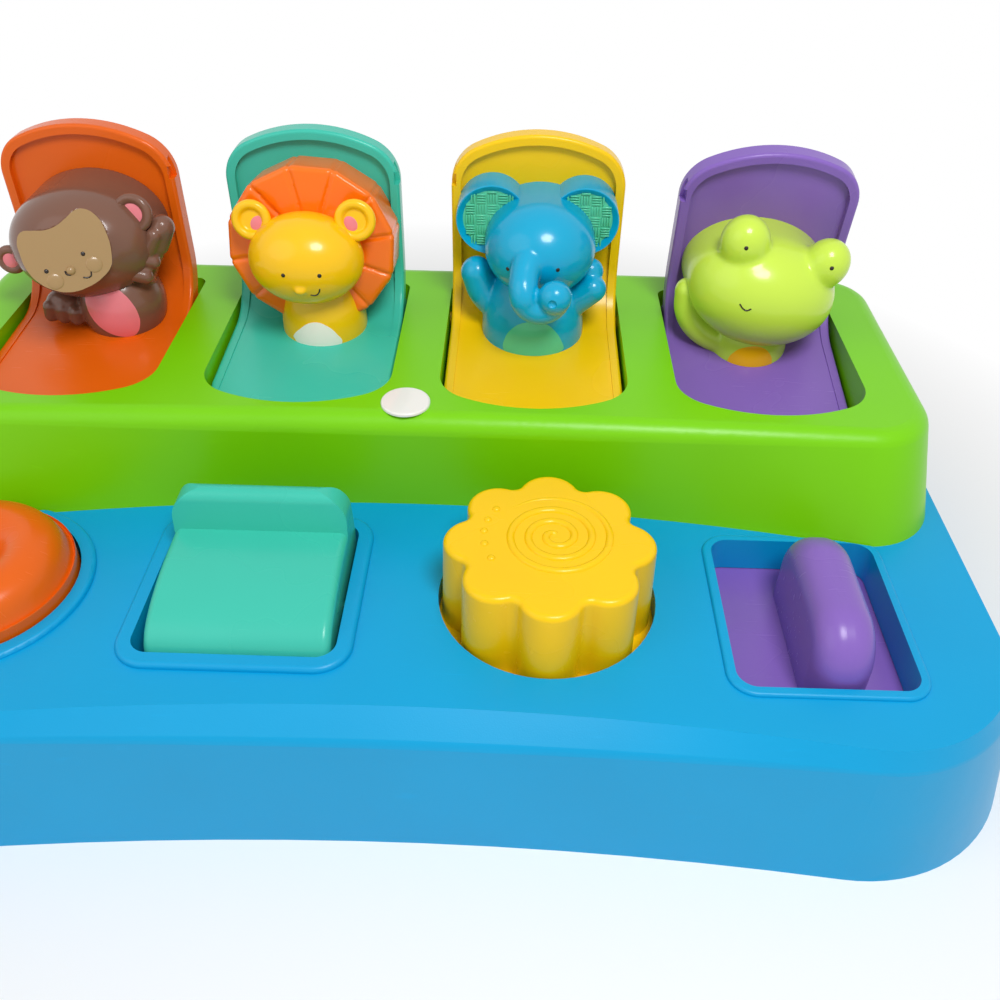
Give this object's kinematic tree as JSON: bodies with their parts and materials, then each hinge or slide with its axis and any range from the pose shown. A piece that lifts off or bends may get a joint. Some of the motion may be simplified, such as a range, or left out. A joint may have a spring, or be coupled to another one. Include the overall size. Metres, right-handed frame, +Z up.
{
  "type": "pop up animal toy",
  "caption": "Toddler activity toy: a low base with a ring button, rocker, flower knob and slider that pop up sprung doors carrying animal figures.",
  "frame": {"origin": "on the table under the middle of the base", "axes": "+X along the row of doors to the user's right, +Y away from the user to the rear, +Z up"},
  "size_m": [0.368, 0.217, 0.1413],
  "materials": {
    "blue_base": "satin moulded polypropylene",
    "cover_blue": "fine matt texture",
    "green_housing": "satin moulded polypropylene",
    "orange_plastic": "glossy",
    "teal_plastic": "glossy",
    "yellow_plastic": "glossy",
    "purple_plastic": "glossy",
    "monkey_brown": "glossy, painted details",
    "lion_yellow": "glossy, painted details",
    "mane_orange": "glossy",
    "elephant_blue": "glossy, painted details",
    "frog_lime": "glossy, painted details",
    "badge_white": "pearl",
    "latch_grey": "natural acetal",
    "spring_steel": "bright drawn wire"
  },
  "bodies": {
    "root": {"base_shell": "blue_base", "bottom_cover": "cover_blue", "cover_screws": "spring_steel", "green_housing": "green_housing", "housing_screws": "spring_steel", "round_badge": "badge_white", "orange_door_spring": "spring_steel", "teal_door_spring": "spring_steel", "yellow_door_spring": "spring_steel", "purple_door_spring": "spring_steel", "button_spring": "spring_steel"},
    "orange_door": {"orange_door": "orange_plastic", "monkey_head": "monkey_brown", "monkey_ears": "monkey_brown", "monkey_body": "monkey_brown"},
    "orange_latch": {"orange_latch": "latch_grey"},
    "teal_door": {"teal_door": "teal_plastic", "lion_face": "lion_yellow", "lion_ears": "lion_yellow", "lion_mane": "mane_orange", "lion_body": "lion_yellow"},
    "teal_latch": {"teal_latch": "latch_grey"},
    "yellow_door": {"yellow_door": "yellow_plastic", "elephant_head": "elephant_blue", "elephant_ears": "elephant_blue", "elephant_trunk": "elephant_blue", "elephant_body": "elephant_blue"},
    "yellow_latch": {"yellow_latch": "latch_grey"},
    "purple_door": {"purple_door": "purple_plastic", "frog_head": "frog_lime", "frog_eyes": "frog_lime", "frog_body": "frog_lime"},
    "purple_latch": {"purple_latch": "latch_grey"},
    "ring_button": {"ring_button": "orange_plastic"},
    "teal_flap": {"teal_flap": "teal_plastic"},
    "flower_knob": {"flower_knob": "yellow_plastic"},
    "purple_slider": {"purple_slider": "purple_plastic"}
  },
  "joints": [
    {"name": "orange_door_hinge", "type": "hinge", "parent": "root", "child": "orange_door", "pos_m": [-0.114, 0.0665, 0.074], "axis": [1, 0, 0], "range_deg": [0, 90], "stiffness_Nm_per_rad": 0.04, "springref_deg": -91.67},
    {"name": "teal_door_hinge", "type": "hinge", "parent": "root", "child": "teal_door", "pos_m": [-0.038, 0.0665, 0.074], "axis": [1, 0, 0], "range_deg": [0, 90], "stiffness_Nm_per_rad": 0.04, "springref_deg": -91.67},
    {"name": "yellow_door_hinge", "type": "hinge", "parent": "root", "child": "yellow_door", "pos_m": [0.038, 0.0665, 0.074], "axis": [1, 0, 0], "range_deg": [0, 90], "stiffness_Nm_per_rad": 0.04, "springref_deg": -91.67},
    {"name": "purple_door_hinge", "type": "hinge", "parent": "root", "child": "purple_door", "pos_m": [0.114, 0.0665, 0.074], "axis": [1, 0, 0], "range_deg": [-8.5, 81.5], "stiffness_Nm_per_rad": 0.04, "springref_deg": -91.67},
    {"name": "ring_press", "type": "slide", "parent": "root", "child": "ring_button", "axis": [0, 0, -1], "range_m": [0, 0.005], "stiffness_N_per_m": 400, "springref_m": -0.005, "deforming": ["button_spring"]},
    {"name": "flap_rock", "type": "hinge", "parent": "root", "child": "teal_flap", "pos_m": [-0.042, -0.051, 0.042], "axis": [1, 0, 0], "range_deg": [0, 14], "stiffness_Nm_per_rad": 0.1, "springref_deg": -28.65},
    {"name": "knob_turn", "type": "hinge", "parent": "root", "child": "flower_knob", "pos_m": [0.043, -0.0495, 0.05], "axis": [0, 0, -1], "range_deg": [0, 45], "stiffness_Nm_per_rad": 0.03, "springref_deg": -22.92},
    {"name": "slider_move", "type": "slide", "parent": "root", "child": "purple_slider", "axis": [-1, 0, 0], "range_m": [0, 0.017], "stiffness_N_per_m": 60, "springref_m": -0.01},
    {"name": "orange_latch_slide", "type": "slide", "parent": "root", "child": "orange_latch", "axis": [0, 1, 0], "range_m": [0, 0.0041]},
    {"name": "teal_latch_slide", "type": "slide", "parent": "root", "child": "teal_latch", "axis": [0, 1, 0], "range_m": [0, 0.0041]},
    {"name": "yellow_latch_slide", "type": "slide", "parent": "root", "child": "yellow_latch", "axis": [0, 1, 0], "range_m": [0, 0.0041]},
    {"name": "purple_latch_slide", "type": "slide", "parent": "root", "child": "purple_latch", "axis": [0, 1, 0], "range_m": [0, 0.0041]}
  ],
  "couplings": [
    {"joint": "orange_latch_slide", "follows": "ring_press", "ratio": 0.8},
    {"joint": "teal_latch_slide", "follows": "flap_rock", "m_per_rad": 0.01635},
    {"joint": "yellow_latch_slide", "follows": "knob_turn", "m_per_rad": 0.00509},
    {"joint": "purple_latch_slide", "follows": "slider_move", "ratio": 0.235}
  ]
}
